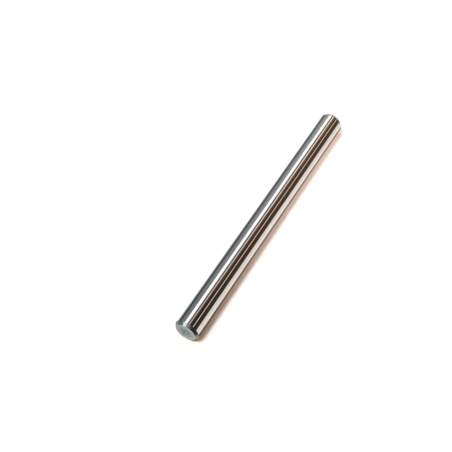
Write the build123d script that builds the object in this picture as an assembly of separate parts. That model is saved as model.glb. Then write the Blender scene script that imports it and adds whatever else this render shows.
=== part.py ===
"""Guide shaft: one round steel bar, ground to size, with a chamfer turned on each end.

The shaft stands on its lower end face. The origin is the centre of that face, and
+Z runs up the axis to the other end face. All sizes are in millimetres.
"""
from build123d import *

import os

# Driving dimensions
SHAFT_DIAMETER = 10.0  # the ground running surface
SHAFT_LENGTH = 120.0  # over both end faces
CHAMFER_DEPTH = 0.8  # how much radius each chamfer takes off at its end face
CHAMFER_LENGTH = 1.25  # how far each chamfer reaches along the shaft
EDGE_RADIUS = 0.1  # the broken edge on both sides of each chamfer

PARTS_FOLDER = "parts"


def turned_outline():
    """Half of the shaft's lengthwise section, on the XZ plane: X is the radius, Z the height."""
    shaft_radius = SHAFT_DIAMETER / 2
    face_radius = shaft_radius - CHAMFER_DEPTH

    corners = [
        (0, 0),
        (face_radius, 0),
        (shaft_radius, CHAMFER_LENGTH),
        (shaft_radius, SHAFT_LENGTH - CHAMFER_LENGTH),
        (face_radius, SHAFT_LENGTH),
        (0, SHAFT_LENGTH),
    ]
    half_section = make_face(Polyline(*corners, close=True))
    turned_corners = half_section.vertices().filter_by(lambda corner: corner.X > 0)
    return Plane.XZ * fillet(turned_corners, EDGE_RADIUS)


def guide_shaft():
    """The outline turned once about the shaft's own axis."""
    return revolve(turned_outline(), axis=Axis.Z)


def main():
    os.makedirs(PARTS_FOLDER, exist_ok=True)
    export_step(guide_shaft(), os.path.join(PARTS_FOLDER, "guide_shaft.step"))


main()
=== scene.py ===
"""The look of a plain guide shaft: a steel bar ground and polished to a mirror, and the studio round it.

The shaft stands on its lower end face at the origin, with +Z up its axis. Lengths are in metres
and angles in radians, except where a name ends in DEGREES. A turn round the shaft is counted from
the side the camera stands on, towards the side of the key light.
"""

import bpy
import numpy as np
from bpy.props import FloatProperty, FloatVectorProperty, IntProperty, PointerProperty
from mathutils import Matrix, Vector


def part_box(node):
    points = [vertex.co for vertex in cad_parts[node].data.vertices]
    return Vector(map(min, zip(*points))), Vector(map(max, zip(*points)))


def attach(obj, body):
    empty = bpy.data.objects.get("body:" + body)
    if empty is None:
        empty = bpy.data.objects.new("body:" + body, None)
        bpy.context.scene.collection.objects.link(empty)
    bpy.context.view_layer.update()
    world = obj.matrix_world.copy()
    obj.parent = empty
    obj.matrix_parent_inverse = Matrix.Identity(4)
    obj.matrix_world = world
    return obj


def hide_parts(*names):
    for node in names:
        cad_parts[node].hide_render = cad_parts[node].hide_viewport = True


bl_info = {
    "name": "Guide Shaft",
    "version": (1, 0, 0),
    "blender": (4, 5, 0),
    "location": "3D View > Sidebar > Guide Shaft",
    "description": "Builds a polished guide shaft around its CAD model, and the studio it stands in",
    "category": "Object",
}

CAD_NODE = "guide_shaft"
MM = 0.001

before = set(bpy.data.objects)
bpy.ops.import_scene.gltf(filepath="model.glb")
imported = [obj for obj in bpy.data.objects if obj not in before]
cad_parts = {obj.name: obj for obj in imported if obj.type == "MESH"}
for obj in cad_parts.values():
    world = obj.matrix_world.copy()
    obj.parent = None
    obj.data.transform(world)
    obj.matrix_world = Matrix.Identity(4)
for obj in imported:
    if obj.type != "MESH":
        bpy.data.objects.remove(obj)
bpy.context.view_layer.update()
_, CAD_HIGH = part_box(CAD_NODE)
SHAFT_RADIUS = CAD_HIGH.x
SHAFT_LENGTH = CAD_HIGH.z

# How finely the bar's outline is divided, and the zones of its finish
EDGE_STEPS = 7
FACE_STEPS = 12
CHAMFER_STEPS = 4
BARREL_STEPS = 31
FACED, TURNED, POLISHED = range(3)

# The barrel's finish: waves of each pattern in a metre, how deep its marks are, the share of the
# steel's colour that it leaves, and how far the lay stretches a highlight and which way
LAY_ACROSS = 300
LAY_ALONG = 9000
LAY_DEPTH = 0.00015 * MM
LAY_SHADE = 0.86
LAY_STRETCH = 0.5
LAY_TURN = 0.25
HAIRS_ACROSS = 5000
HAIRS_ALONG = 60
HAIR_DEPTH = 0.00008 * MM
FILM_WAVES = 90
FILM_SHADE = 0.94
POLISHED_ROUGHNESS = (0.015, 0.04)

# The chamfers' finish
TOOL_WAVES = 12000
TOOL_DEPTH = 0.0012 * MM
BLOOM_WAVES = 650
BLOOM_SHADE = 0.85
TURNED_ROUGHNESS = (0.12, 0.2)

# The end faces' finish
MARK_WAVES = 9000
MARK_DEPTH = 0.0016 * MM
RING_WAVES = 2600
RING_SHADE = 0.8
STAIN_WAVES = 800
STAIN_SHADE = 0.4
STAIN_DETAIL = 4.0
FACED_ROUGHNESS = 0.36
RIM_ROUGHNESS = 0.2

# A noise pattern is fully low below the first value and fully high above the second. Its detail is
# how many finer layers it has.
NOISE_RANGE = (0.35, 0.65)
NOISE_DETAIL = 3.0

# Cloth panels that only the polished steel sees, hung on a sphere round the shaft
PANEL_DISTANCE = 2.0
PANEL_COLUMNS = 13
PANEL_ROWS = 13
TONE = "tone"

# Each tone of the stripes has two values: at the head of the cloth and at its foot
WHITE = ((1.45, 1.45, 1.45), (1.45, 1.45, 1.45))
MIST = ((0.81, 0.84, 0.85), (0.96, 0.98, 0.97))
SLATE = ((0.035, 0.042, 0.05), (0.085, 0.088, 0.084))
GRAPHITE = ((0.16, 0.175, 0.18), (0.31, 0.32, 0.31))
BLUE_GREY = ((0.24, 0.27, 0.28), (0.5, 0.51, 0.49))
DUSK = ((0.17, 0.14, 0.12), (0.17, 0.12, 0.09))
TAN = ((0.62, 0.53, 0.48), (1.35, 1.14, 1.01))
UMBER = ((0.08, 0.05, 0.035), (0.22, 0.14, 0.09))
BROWN = ((0.0, 0.0, 0.0), (0.045, 0.015, 0.0))
SAND = ((1.34, 1.13, 1.0), (1.46, 1.06, 0.83))
BLACK = ((0.02, 0.015, 0.01), (0.085, 0.05, 0.03))
SOOT = ((0.055, 0.04, 0.03), (0.11, 0.06, 0.035))
OAT = ((0.86, 0.79, 0.73), (0.88, 0.79, 0.72))
BEIGE = ((1.14, 1.03, 0.94), (1.27, 1.13, 1.02))
# The contact tone is dark cloth that stands in for the shadowed floor where the shaft touches it, as the
# steel would show it: a painted shadow in the reflection
CONTACT_SHADE = ((0.015, 0.01, 0.005), (0.14, 0.085, 0.06))
HEM = (0.46, 0.45, 0.41)

# The stripes: first and last turn in degrees, and the tones there
STRIPES = (
    (118, 145, SLATE, MIST),
    (109, 118, SLATE, SLATE),
    (94, 109, GRAPHITE, SLATE),
    (57, 94, BLUE_GREY, GRAPHITE),
    (32, 57, WHITE, WHITE),
    (18, 32, DUSK, DUSK),
    (9.5, 18, TAN, TAN),
    (-23, 9.5, BROWN, UMBER),
    (-27.5, -23, SAND, SAND),
    (-37, -27.5, BLACK, BLACK),
    (-47, -37, SOOT, BLACK),
    (-67, -47, BLACK, SOOT),
    (-115, -67, BEIGE, OAT),
    # From here on back, the stripes hold the painted contact shadow
    (-138, -115, CONTACT_SHADE, BEIGE),
)

# The stripes behind the shaft, each with the tone of its shoulder last
BACK_STRIPES = (
    (145, 180, MIST, WHITE, (0.25, 0.26, 0.26)),
    # The painted contact shadow, behind the shaft
    (-180, -138, CONTACT_SHADE, CONTACT_SHADE, (0.64, 0.62, 0.58)),
)

# The heights at which the stripes change
STRIPE_TOP_DEGREES = 12
SHOULDER_DEGREES = -12
HEAD_DEGREES = -22
FOOT_DEGREES = -40
HEM_DEGREES = -45

# The cloths above the stripes, which the chamfer and the end face see: first and last turn,
# and the tones there
CANOPY_WHITE = (1.0, 1.02, 1.02)
CANOPY_GREY = (0.52, 0.54, 0.54)
CANOPY_SLATE = (0.23, 0.26, 0.27)
CANOPY_SOFTBOX = (1.52, 1.51, 1.60)
CANOPY_BLUE = (0.55, 0.57, 0.62)
CANOPY_MAUVE = (0.34, 0.33, 0.36)
CANOPY_BLACK = (0.035, 0.035, 0.035)
CANOPY_GREEN = (0.13, 0.15, 0.13)
CANOPY = (
    (125, 180, CANOPY_GREY, CANOPY_GREY),
    (70, 125, CANOPY_SLATE, CANOPY_SLATE),
    (38, 70, CANOPY_SOFTBOX, CANOPY_SOFTBOX),
    (12, 38, CANOPY_MAUVE, CANOPY_BLUE),
    (-25, 12, CANOPY_BLACK, CANOPY_MAUVE),
    (-70, -25, CANOPY_BLACK, CANOPY_BLACK),
    (-125, -70, CANOPY_GREEN, CANOPY_BLACK),
    (-180, -125, CANOPY_WHITE, CANOPY_WHITE),
)
CANOPY_TOP_DEGREES = 50

# The pale cards: how wide they are, what one gives back of the other's light, how far up their own
# glow is full, and the turn and the gap at which the backdrop stands behind the shaft
STAGE_SIZE = 12.0
CARD_BOUNCE = (0.3, 0.3, 0.3)
GLOW_HEIGHT = SHAFT_LENGTH / 8
BACKDROP_TURN_DEGREES = 19
BACKDROP_GAP = 0.02 * MM

# The lamps: where the key light hangs, how strong the top light is, and how soft both are
KEY_TURN_DEGREES = 29.5
KEY_ELEVATION_DEGREES = 20
KEY_SPREAD_DEGREES = 18
TOP_STRENGTH = 0.6
TOP_SPREAD_DEGREES = 60


# Settings that a user would change


class ShaftSettings(bpy.types.PropertyGroup):
    """The bar's turned ends and the finish of its surfaces."""

    chamfer_depth: FloatProperty(
        name="Chamfer depth",
        description="How much radius each chamfer takes off at its end face",
        default=0.8 * MM,
        unit="LENGTH",
        precision=5,
    )
    chamfer_length: FloatProperty(
        name="Chamfer length",
        description="How far each chamfer reaches along the shaft",
        default=1.25 * MM,
        unit="LENGTH",
        precision=5,
    )
    edge_radius: FloatProperty(
        name="Edge radius",
        description="Radius of the broken edge on both sides of each chamfer",
        default=0.1 * MM,
        unit="LENGTH",
        precision=5,
    )
    # The brightening towards the rim is partly the face's finish and partly a painted highlight
    dull_radius: FloatProperty(
        name="Dull radius",
        description="Radius of the dull middle of each end face, which brightens from there to its rim",
        default=1.3 * MM,
        unit="LENGTH",
        precision=5,
    )
    columns: IntProperty(
        name="Columns",
        description="How many flats the round surfaces are divided into",
        default=288,
        min=24,
    )
    polished_steel: FloatVectorProperty(
        name="Polished steel",
        description="Colour of the ground and polished running surface",
        default=(0.79, 0.79, 0.78),
        subtype="COLOR",
    )
    turned_steel: FloatVectorProperty(
        name="Turned steel",
        description="Colour of the chamfers",
        default=(0.53, 0.56, 0.55),
        subtype="COLOR",
    )
    faced_steel: FloatVectorProperty(
        name="Faced steel",
        description="Colour of the dull middle of each end face",
        default=(0.35, 0.395, 0.385),
        subtype="COLOR",
    )
    # Partly the faced steel's own colour at the rim and partly a painted highlight of the rim's bright
    # line
    rim_steel_and_highlight: FloatVectorProperty(
        name="Rim steel",
        description="Colour of each end face at its rim",
        default=(0.47, 0.495, 0.495),
        subtype="COLOR",
    )


class StudioSettings(bpy.types.PropertyGroup):
    """The camera's stand and the level of the light."""

    azimuth: FloatProperty(
        name="Camera azimuth",
        description="Where the camera stands round the shaft, from the -Y side towards +X",
        default=np.radians(45),
        unit="ROTATION",
    )
    elevation: FloatProperty(
        name="Camera elevation",
        description="How steeply the camera looks down",
        default=np.radians(30.4),
        unit="ROTATION",
    )
    roll: FloatProperty(
        name="Camera roll",
        description="How far the camera's top leans to the right of upright",
        default=np.radians(144.27),
        unit="ROTATION",
    )
    distance: FloatProperty(
        name="Camera distance",
        description="From the point that the camera aims at",
        default=368 * MM,
        unit="LENGTH",
    )
    aim_height: FloatProperty(
        name="Aim height",
        description="Height of the point that the camera aims at",
        default=73.2 * MM,
        unit="LENGTH",
    )
    aim_aside: FloatProperty(
        name="Aim aside",
        description="How far to the right of the axis the camera aims, seen upright",
        default=10.7 * MM,
        unit="LENGTH",
    )
    lens: FloatProperty(
        name="Lens",
        description="Focal length on a 36 mm sensor",
        default=74.8,
        unit="CAMERA",
    )
    key_colour: FloatVectorProperty(
        name="Key light",
        description="Colour of the key light, which casts the shaft's shadow",
        default=(0.80, 0.93, 1.0),
        subtype="COLOR",
    )
    key_strength: FloatProperty(
        name="Key strength",
        description="Light that the key lamp puts on a card that faces it",
        default=2.95,
    )
    fill_colour: FloatVectorProperty(
        name="Fill light",
        description="Colour of the soft light that reaches into the shadow",
        default=(0.79, 0.445, 0.23),
        subtype="COLOR",
    )
    floor_glow: FloatVectorProperty(
        name="Floor glow",
        description="Light that the floor shows to the camera by itself",
        default=(0.56, 0.55, 0.54),
        subtype="COLOR",
    )
    backdrop_glow: FloatVectorProperty(
        name="Backdrop glow",
        description="Light that the foot of the backdrop shows to the camera by itself",
        default=(0.485, 0.39, 0.36),
        subtype="COLOR",
    )
    card_colour: FloatVectorProperty(
        name="Card",
        description="Colour of the pale floor and backdrop",
        default=(0.92, 0.92, 0.92),
        subtype="COLOR",
    )


# Meshes


def profile_of_bar(settings):
    """The bar's outline from the centre of its lower face to the centre of its upper face.

    Returns the radius, height, outward normal (radial, axial) and zone of each point. The lower half
    is the flat face, an arc of the edge radius, the straight chamfer, another such arc, and the
    barrel up to mid-length. The upper half is its mirror image in the mid-length plane.
    """
    edge = settings.edge_radius
    face_radius = SHAFT_RADIUS - settings.chamfer_depth
    chamfer_height = settings.chamfer_length
    lean = np.arctan(settings.chamfer_depth / chamfer_height)
    face_setback = edge * np.tan((np.pi / 2 - lean) / 2)
    barrel_setback = edge * np.tan(lean / 2)

    def arc(centre_radius, centre_height, first, last):
        angle = np.linspace(first, last, EDGE_STEPS)
        points = centre_radius + edge * np.cos(angle), centre_height + edge * np.sin(angle)
        return np.array([*points, np.cos(angle), np.sin(angle)])

    def straight(first, last, angle, steps):
        share = np.linspace(0, 1, steps)
        radius = first[0] + (last[0] - first[0]) * share
        height = first[1] + (last[1] - first[1]) * share
        level = np.ones(steps)
        return np.array([radius, height, np.cos(angle) * level, np.sin(angle) * level])

    chamfer_facing = -lean
    face_arc = arc(face_radius - face_setback, edge, -np.pi / 2, chamfer_facing)
    barrel_arc = arc(SHAFT_RADIUS - edge, chamfer_height + barrel_setback, chamfer_facing, 0)
    face = straight((0, 0), face_arc[:2, 0], -np.pi / 2, FACE_STEPS)
    chamfer = straight(face_arc[:2, -1], barrel_arc[:2, 0], chamfer_facing, CHAMFER_STEPS)
    barrel = straight(barrel_arc[:2, -1], (SHAFT_RADIUS, SHAFT_LENGTH / 2), 0, BARREL_STEPS)

    runs = [face, face_arc[:, 1:-1], chamfer, barrel_arc[:, 1:-1], barrel]
    zones = [FACED, TURNED, TURNED, TURNED, POLISHED]
    lower = np.hstack(runs)
    zone = np.repeat(zones, [run.shape[1] for run in runs])
    upper = lower[:, -2::-1] * np.array([[1], [-1], [1], [-1]])
    upper[1] += SHAFT_LENGTH
    return np.hstack([lower, upper]), np.concatenate([zone, zone[-2::-1]])


def turned_mesh(name, profile, zone, columns):
    """A solid of revolution: each profile point (radius, height) is carried once round Z.

    The point at turn t is (radius cos t, radius sin t, height), and its normal is the profile's
    normal turned with it. The first and last points lie on the axis and close the two ends.
    """
    radius, height, out_radial, out_axial = profile[:, 1:-1]
    turn = np.arange(columns) * 2 * np.pi / columns
    around = np.stack([np.cos(turn), np.sin(turn), np.zeros(columns)], -1)
    up = np.array([0, 0, 1])
    rings = radius[:, None, None] * around + height[:, None, None] * up
    normals = out_radial[:, None, None] * around + out_axial[:, None, None] * up
    poles = profile[1, [0, -1], None] * up
    points = np.concatenate([poles, rings.reshape(-1, 3)])
    outward = np.concatenate([profile[3, [0, -1], None] * up, normals.reshape(-1, 3)])

    ring_count = len(radius)
    here = np.arange(columns)
    beyond = (here + 1) % columns
    first = 2 + np.arange(ring_count - 1)[:, None] * columns
    corners = [first + here, first + beyond, first + columns + beyond, first + columns + here]
    quads = np.stack(corners, -1).reshape(-1, 4)
    top = 2 + (ring_count - 1) * columns
    lower_fan = np.stack([np.zeros(columns, int), 2 + beyond, 2 + here], -1)
    upper_fan = np.stack([np.ones(columns, int), top + here, top + beyond], -1)

    mesh = bpy.data.meshes.new(name)
    mesh.from_pydata(points, [], lower_fan.tolist() + upper_fan.tolist() + quads.tolist())
    inner = zone[1:-1]
    band = np.where(inner[1:] == inner[:-1], inner[1:], TURNED)
    slots = [np.full(2 * columns, FACED), np.repeat(band, columns)]
    mesh.polygons.foreach_set("material_index", np.concatenate(slots).astype(np.int32))
    mesh.polygons.foreach_set("use_smooth", np.ones(len(mesh.polygons), bool))
    mesh.normals_split_custom_set_from_vertices(outward)
    mesh.update()
    return mesh


def stacked(first, last, levels):
    """Panels one above the other between two turns. A level is a height and the two tones along it."""
    pairs = zip(levels, levels[1:])
    return [(first, last, bottom, top, *lower, *upper) for (bottom, lower), (top, upper) in pairs]


def studio_panels():
    """Every cloth panel: first and last turn, lowest and highest edge, all in degrees, and four tones.

    The tones are those at the first and last turn, first along the lower edge and then along the
    upper one. A stripe has its foot's tones at FOOT_DEGREES and its head's from HEAD_DEGREES up,
    and below its foot it fades into the hem. A back stripe is all hem from HEM_DEGREES down, and
    above its head it fades into its shoulder's tone, which it has from SHOULDER_DEGREES up.
    """
    hem = HEM, HEM
    panels = []
    for first, last, *tones in STRIPES:
        head, foot = zip(*tones)
        levels = [(-90, hem), (FOOT_DEGREES, foot), (HEAD_DEGREES, head), (STRIPE_TOP_DEGREES, head)]
        panels += stacked(first, last, levels)
    for first, last, *tones, shoulder in BACK_STRIPES:
        head, foot = zip(*tones)
        ends = shoulder, shoulder
        levels = [(-90, hem), (HEM_DEGREES, hem), (FOOT_DEGREES, foot), (HEAD_DEGREES, head)]
        levels += [(SHOULDER_DEGREES, ends), (STRIPE_TOP_DEGREES, ends)]
        panels += stacked(first, last, levels)
    for first, last, *tones in CANOPY:
        panels += stacked(first, last, [(STRIPE_TOP_DEGREES, tones), (CANOPY_TOP_DEGREES, tones)])
    cap = CANOPY_WHITE, CANOPY_WHITE
    panels += stacked(-180, 180, [(CANOPY_TOP_DEGREES, cap), (90, cap)])
    return panels


def panel_mesh(name, panels, azimuth):
    """Panels hung round the shaft on a sphere, each spanning a range of turn and of height.

    A point at turn t and height h is PANEL_DISTANCE (cos h sin a, -cos h cos a, sin h) from the
    middle of the shaft, where a is the camera's azimuth plus t. The tone runs evenly from the
    panel's first side to its last, and from its lower edge to its upper one.
    """
    spans = np.radians([panel[:4] for panel in panels])[:, :, None, None]
    tones = np.array([panel[4:] for panel in panels])[:, :, None, None, :]
    across = np.linspace(0, 1, PANEL_COLUMNS)[None, None, :]
    upward = np.linspace(0, 1, PANEL_ROWS)[None, :, None]
    turn = azimuth + spans[:, 0] * (1 - across) + spans[:, 1] * across
    height = spans[:, 2] * (1 - upward) + spans[:, 3] * upward
    turn, height = np.broadcast_arrays(turn, height)
    flat = np.cos(height)
    points = np.stack([flat * np.sin(turn), -flat * np.cos(turn), np.sin(height)], -1)
    points = points * PANEL_DISTANCE + np.array([0, 0, SHAFT_LENGTH / 2])
    across, upward = across[..., None], upward[..., None]
    lower = tones[:, 0] * (1 - across) + tones[:, 1] * across
    upper = tones[:, 2] * (1 - across) + tones[:, 3] * across
    tone = lower * (1 - upward) + upper * upward

    count = len(panels)
    number = np.arange(count * PANEL_ROWS * PANEL_COLUMNS)
    number = number.reshape(count, PANEL_ROWS, PANEL_COLUMNS)
    corners = [number[:, :-1, :-1], number[:, 1:, :-1], number[:, 1:, 1:], number[:, :-1, 1:]]
    quads = np.stack(corners, -1).reshape(-1, 4)

    mesh = bpy.data.meshes.new(name)
    mesh.from_pydata(points.reshape(-1, 3), [], quads.tolist())
    colour = mesh.attributes.new(TONE, "FLOAT_VECTOR", "POINT")
    colour.data.foreach_set("vector", tone.reshape(-1).astype(np.float32))
    mesh.update()
    return mesh


# Materials


def new_material(name):
    """A material with an empty node tree, its tree and its output node."""
    material = bpy.data.materials.new(name)
    material.use_nodes = True
    tree = material.node_tree
    tree.nodes.clear()
    return material, tree, tree.nodes.new("ShaderNodeOutputMaterial")


def add_node(tree, kind, **values):
    """A node of that kind. Values name its inputs, with underscores for spaces, or its own settings."""
    node = tree.nodes.new("ShaderNode" + kind)
    for key, value in values.items():
        socket = node.inputs.get(key.replace("_", " "))
        if socket is None:
            setattr(node, key, value)
        elif isinstance(value, bpy.types.NodeSocket):
            tree.links.new(value, socket)
        else:
            socket.default_value = value
    return node


def ranged(tree, value, low, high, from_low=0.0, from_high=1.0):
    """A value carried evenly from one range to another, and held at its ends."""
    node = add_node(tree, "MapRange", Value=value)
    node.inputs["From Min"].default_value = from_low
    node.inputs["From Max"].default_value = from_high
    node.inputs["To Min"].default_value = low
    node.inputs["To Max"].default_value = high
    return node.outputs["Result"]


def blended(tree, share, first, last, way="MIX"):
    """A colour between two, by a share from 0 to 1. Each is a plain colour or another node's output."""
    node = add_node(tree, "Mix", data_type="RGBA", blend_type=way, Factor=share)
    inputs = [socket for socket in node.inputs if socket.type == "RGBA"]
    for socket, colour in zip(inputs, (first, last)):
        if isinstance(colour, bpy.types.NodeSocket):
            tree.links.new(colour, socket)
        else:
            socket.default_value = (*colour, 1.0)
    return next(socket for socket in node.outputs if socket.type == "RGBA")


def noise(tree, place, across, along, detail=NOISE_DETAIL):
    """Noise with that many waves in a metre across the shaft's axis and along it."""
    waves = add_node(tree, "Mapping", Vector=place, Scale=(across, across, along)).outputs["Vector"]
    return add_node(tree, "TexNoise", Vector=waves, Scale=1.0, Detail=detail).outputs["Fac"]


def shaded(tree, pattern, colour, shade):
    """A colour that falls to that share of itself where the noise pattern is low."""
    depth = ranged(tree, pattern, 1, 0, *NOISE_RANGE)
    return blended(tree, depth, colour, (shade, shade, shade), "MULTIPLY")


def steel(tree, output, **values):
    """A bare metal surface."""
    shader = add_node(tree, "BsdfPrincipled", Metallic=1.0, **values)
    tree.links.new(shader.outputs["BSDF"], output.inputs["Surface"])


def polished_material(settings):
    """Ground and polished steel: rings of fine grinding lay, faint hairlines and a thin oil film."""
    material, tree, output = new_material("polished_steel")
    place = add_node(tree, "TexCoord").outputs["Object"]
    lay = noise(tree, place, LAY_ACROSS, LAY_ALONG)
    hairs = noise(tree, place, HAIRS_ACROSS, HAIRS_ALONG)
    film = noise(tree, place, FILM_WAVES, FILM_WAVES)
    lay_normal = add_node(tree, "Bump", Height=lay, Distance=LAY_DEPTH).outputs["Normal"]
    hair_bump = add_node(tree, "Bump", Height=hairs, Distance=HAIR_DEPTH, Normal=lay_normal)
    filmed = shaded(tree, film, settings.polished_steel, FILM_SHADE)
    along = add_node(tree, "Tangent", direction_type="RADIAL", axis="Z").outputs["Tangent"]
    steel(
        tree,
        output,
        Base_Color=shaded(tree, lay, filmed, LAY_SHADE),
        Roughness=ranged(tree, film, *POLISHED_ROUGHNESS, *NOISE_RANGE),
        Anisotropic=LAY_STRETCH,
        Anisotropic_Rotation=LAY_TURN,
        Tangent=along,
        Normal=hair_bump.outputs["Normal"],
    )
    return material


def turned_material(settings):
    """Turned steel: the rings that a lathe tool leaves on the chamfers, and a dull bloom over them."""
    material, tree, output = new_material("turned_steel")
    place = add_node(tree, "TexCoord").outputs["Object"]
    rings = noise(tree, place, LAY_ACROSS, TOOL_WAVES)
    bloom = noise(tree, place, BLOOM_WAVES, BLOOM_WAVES)
    bump = add_node(tree, "Bump", Height=rings, Distance=TOOL_DEPTH)
    steel(
        tree,
        output,
        Base_Color=shaded(tree, bloom, settings.turned_steel, BLOOM_SHADE),
        Roughness=ranged(tree, bloom, *TURNED_ROUGHNESS, *NOISE_RANGE),
        Normal=bump.outputs["Normal"],
    )
    return material


def faced_material(settings):
    """Faced steel: satin, with the tool's rings, faint stains, and brighter from its middle to its rim,
    partly by its own finish and partly by a painted highlight towards the rim.
    """
    material, tree, output = new_material("faced_steel")
    place = add_node(tree, "TexCoord").outputs["Object"]
    flat = add_node(tree, "VectorMath", operation="MULTIPLY")
    tree.links.new(place, flat.inputs[0])
    # The height is left out, so the length that is left is the radius
    flat.inputs[1].default_value = (1, 1, 0)
    length = add_node(tree, "VectorMath", operation="LENGTH")
    tree.links.new(flat.outputs["Vector"], length.inputs[0])
    radius = length.outputs["Value"]
    marks = add_node(tree, "TexNoise", noise_dimensions="1D", W=radius, Scale=MARK_WAVES).outputs["Fac"]
    rings = add_node(tree, "TexNoise", noise_dimensions="1D", W=radius, Scale=RING_WAVES).outputs["Fac"]
    stain = noise(tree, place, STAIN_WAVES, STAIN_WAVES, STAIN_DETAIL)
    ringed = shaded(tree, rings, shaded(tree, stain, settings.faced_steel, STAIN_SHADE), RING_SHADE)
    rim = ranged(tree, radius, 0, 1, settings.dull_radius, SHAFT_RADIUS)
    bump = add_node(tree, "Bump", Height=marks, Distance=MARK_DEPTH)
    steel(
        tree,
        output,
        # Towards the rim the colour brightens: partly the finish, partly a painted highlight
        Base_Color=blended(tree, rim, ringed, settings.rim_steel_and_highlight),
        Roughness=ranged(tree, rim, FACED_ROUGHNESS, RIM_ROUGHNESS),
        Normal=bump.outputs["Normal"],
    )
    return material


def card_material(name, colour, glow):
    """Pale card that shows white where it is fully lit, keeps deep shadows, and is clear from behind.

    To the camera it also shows a glow of its own, full up to GLOW_HEIGHT and gone at the height of
    the shaft's head. It throws little of its light on to the other card.
    """
    material, tree, output = new_material(name)
    path = add_node(tree, "LightPath").outputs
    seen = path["Is Camera Ray"]
    bounced = ranged(tree, path["Diffuse Depth"], 0, 1)
    thrown = blended(tree, bounced, colour, CARD_BOUNCE)
    lit = add_node(tree, "BsdfDiffuse", Color=thrown).outputs["BSDF"]
    place = add_node(tree, "TexCoord").outputs["Object"]
    height = add_node(tree, "SeparateXYZ", Vector=place).outputs["Z"]
    rise = ranged(tree, height, 0, 1, GLOW_HEIGHT, SHAFT_LENGTH)
    faded = blended(tree, rise, glow, (0, 0, 0))
    own_light = add_node(tree, "Emission", Color=faded, Strength=seen).outputs["Emission"]
    front = add_node(tree, "AddShader")
    tree.links.new(lit, front.inputs[0])
    tree.links.new(own_light, front.inputs[1])
    clear = add_node(tree, "BsdfTransparent").outputs["BSDF"]
    sides = add_node(tree, "MixShader")
    tree.links.new(add_node(tree, "NewGeometry").outputs["Backfacing"], sides.inputs["Fac"])
    tree.links.new(front.outputs["Shader"], sides.inputs[1])
    tree.links.new(clear, sides.inputs[2])
    tree.links.new(sides.outputs["Shader"], output.inputs["Surface"])
    return material


def panel_material():
    """Cloth that shows its tone in the steel, and that the steel doesn't throw on to the pale cards."""
    material, tree, output = new_material("panel_cloth")
    tone = add_node(tree, "Attribute", attribute_name=TONE).outputs["Color"]
    bounces = add_node(tree, "LightPath").outputs["Diffuse Depth"]
    direct = ranged(tree, bounces, 1, 0)
    glow = add_node(tree, "Emission", Color=tone, Strength=direct).outputs["Emission"]
    tree.links.new(glow, output.inputs["Surface"])
    material.cycles.emission_sampling = "NONE"
    return material


# Operators


def add_object(name, data):
    """A new object in the scene, at the origin."""
    made = bpy.data.objects.new(name, data)
    bpy.context.scene.collection.objects.link(made)
    return made


class GUIDESHAFT_OT_bar(bpy.types.Operator):
    """Builds the polished bar over the CAD model's shaft"""

    bl_idname = "guideshaft.bar"
    bl_label = "Polished bar"

    def execute(self, context):
        settings = context.scene.guide_shaft
        profile, zone = profile_of_bar(settings)
        mesh = turned_mesh("polished_shaft", profile, zone, settings.columns)
        for make in (faced_material, turned_material, polished_material):
            mesh.materials.append(make(settings))
        bar = add_object("polished_shaft", mesh)
        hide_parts(CAD_NODE)
        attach(bar, "root")
        return {"FINISHED"}


def facing(azimuth, elevation):
    """The direction from the shaft towards an azimuth (0 is -Y, 90 is +X) and an elevation."""
    flat = np.cos(elevation)
    return Vector((flat * np.sin(azimuth), -flat * np.cos(azimuth), np.sin(elevation)))


def add_card(name, corners, material):
    """A flat card with those corners, anticlockwise from its front."""
    mesh = bpy.data.meshes.new(name)
    mesh.from_pydata(corners, [], [(0, 1, 2, 3)])
    mesh.materials.append(material)
    card = add_object(name, mesh)
    card.visible_glossy = False
    return card


def add_floor(settings):
    """The pale floor that the shaft stands on."""
    half = STAGE_SIZE / 2
    corners = [(-half, -half, 0), (half, -half, 0), (half, half, 0), (-half, half, 0)]
    material = card_material("floor_card", settings.card_colour, settings.floor_glow)
    add_card("pale_floor", corners, material)


def add_backdrop(settings):
    """The pale backdrop, which stands on the floor just behind the shaft."""
    half = STAGE_SIZE / 2
    front = settings.azimuth + np.radians(BACKDROP_TURN_DEGREES)
    foot = facing(front, 0) * -(SHAFT_RADIUS + BACKDROP_GAP)
    side = facing(front + np.pi / 2, 0) * half
    top = Vector((0, 0, half))
    corners = [foot - side, foot + side, foot + side + top, foot - side + top]
    material = card_material("wall_card", settings.card_colour, settings.backdrop_glow)
    add_card("pale_backdrop", corners, material)


def add_panels(settings):
    """The cloth panels, which only the steel sees."""
    panels = add_object("studio_panels", panel_mesh("studio_panels", studio_panels(), settings.azimuth))
    panels.data.materials.append(panel_material())
    panels.visible_camera = False
    panels.visible_diffuse = False
    panels.visible_shadow = False


def add_sun(name, colour, strength, spread_degrees, towards):
    """A soft distant lamp that shines from that direction and doesn't show in the steel."""
    light = bpy.data.lights.new(name, "SUN")
    light.color = colour
    light.energy = strength
    light.angle = np.radians(spread_degrees)
    lamp = add_object(name, light)
    lamp.rotation_euler = towards.to_track_quat("Z", "Y").to_euler()
    lamp.visible_glossy = False
    return lamp


def add_lamps(settings):
    """The key light, which casts the shaft's shadow, and a soft light from above."""
    key = facing(settings.azimuth + np.radians(KEY_TURN_DEGREES), np.radians(KEY_ELEVATION_DEGREES))
    add_sun("key_light", settings.key_colour, settings.key_strength, KEY_SPREAD_DEGREES, key)
    add_sun("top_light", settings.key_colour, TOP_STRENGTH, TOP_SPREAD_DEGREES, Vector((0, 0, 1)))


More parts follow.
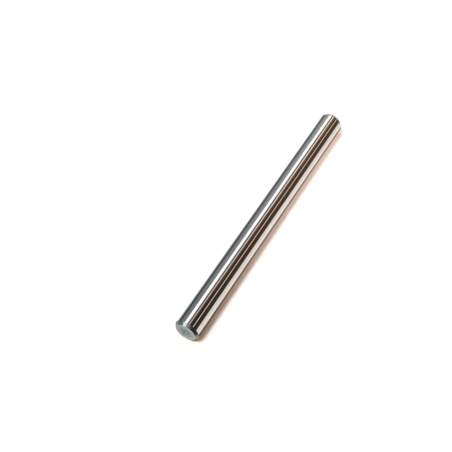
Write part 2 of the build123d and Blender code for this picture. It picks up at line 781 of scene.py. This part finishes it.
def add_camera(settings):
    """The camera, on its stand: azimuth, elevation and distance from the aim, then rolled."""
    back = facing(settings.azimuth, settings.elevation)
    right = facing(settings.azimuth + np.pi / 2, 0)
    upright = back.cross(right)
    up = upright * np.cos(settings.roll) + right * np.sin(settings.roll)
    aim = right * settings.aim_aside + Vector((0, 0, settings.aim_height))
    data = bpy.data.cameras.new("camera")
    data.lens = settings.lens
    camera = add_object("camera", data)
    turned = Matrix((up.cross(back), up, back)).transposed().to_4x4()
    camera.matrix_world = Matrix.Translation(aim + back * settings.distance) @ turned
    bpy.context.scene.camera = camera


def light_world(settings):
    """White behind everything and in the steel, and a soft fill on the pale cards."""
    world = bpy.data.worlds.new("studio")
    bpy.context.scene.world = world
    world.use_nodes = True
    tree = world.node_tree
    tree.nodes.clear()
    path = add_node(tree, "LightPath").outputs
    seen = path["Is Camera Ray"]
    for kind in ("Is Glossy Ray", "Is Transmission Ray"):
        either = add_node(tree, "Math", operation="MAXIMUM")
        tree.links.new(seen, either.inputs[0])
        tree.links.new(path[kind], either.inputs[1])
        seen = either.outputs["Value"]
    colour = blended(tree, seen, settings.fill_colour, (1.0, 1.0, 1.0))
    shown = add_node(tree, "Background", Color=colour, Strength=1.0).outputs["Background"]
    output = add_node(tree, "OutputWorld")
    tree.links.new(shown, output.inputs["Surface"])


class GUIDESHAFT_OT_studio(bpy.types.Operator):
    """Sets up the pale floor and backdrop, the panels, the lamps and the camera"""

    bl_idname = "guideshaft.studio"
    bl_label = "Studio"

    def execute(self, context):
        settings = context.scene.guide_shaft_studio
        add_floor(settings)
        add_backdrop(settings)
        add_panels(settings)
        add_lamps(settings)
        light_world(settings)
        add_camera(settings)
        context.scene.view_settings.view_transform = "Standard"
        return {"FINISHED"}


class GUIDESHAFT_PT_panel(bpy.types.Panel):
    """Lists the steps that build the shaft and its studio"""

    bl_idname = "GUIDESHAFT_PT_panel"
    bl_label = "Guide Shaft"
    bl_space_type = "VIEW_3D"
    bl_region_type = "UI"
    bl_category = "Guide Shaft"

    def draw(self, context):
        layout = self.layout
        for settings in (context.scene.guide_shaft, context.scene.guide_shaft_studio):
            for name in settings.__annotations__:
                layout.prop(settings, name)
        for operator in OPERATORS:
            layout.operator(operator.bl_idname)


SETTINGS = (("guide_shaft", ShaftSettings), ("guide_shaft_studio", StudioSettings))
OPERATORS = (GUIDESHAFT_OT_bar, GUIDESHAFT_OT_studio)
CLASSES = (ShaftSettings, StudioSettings, *OPERATORS, GUIDESHAFT_PT_panel)


def register():
    for cls in CLASSES:
        bpy.utils.register_class(cls)
    for name, settings in SETTINGS:
        setattr(bpy.types.Scene, name, PointerProperty(type=settings))


def unregister():
    for name, _ in SETTINGS:
        delattr(bpy.types.Scene, name)
    for cls in reversed(CLASSES):
        bpy.utils.unregister_class(cls)


def main():
    """Builds the shaft and its studio."""
    register()
    bpy.ops.guideshaft.bar()
    bpy.ops.guideshaft.studio()


if __name__ == "__main__":
    main()
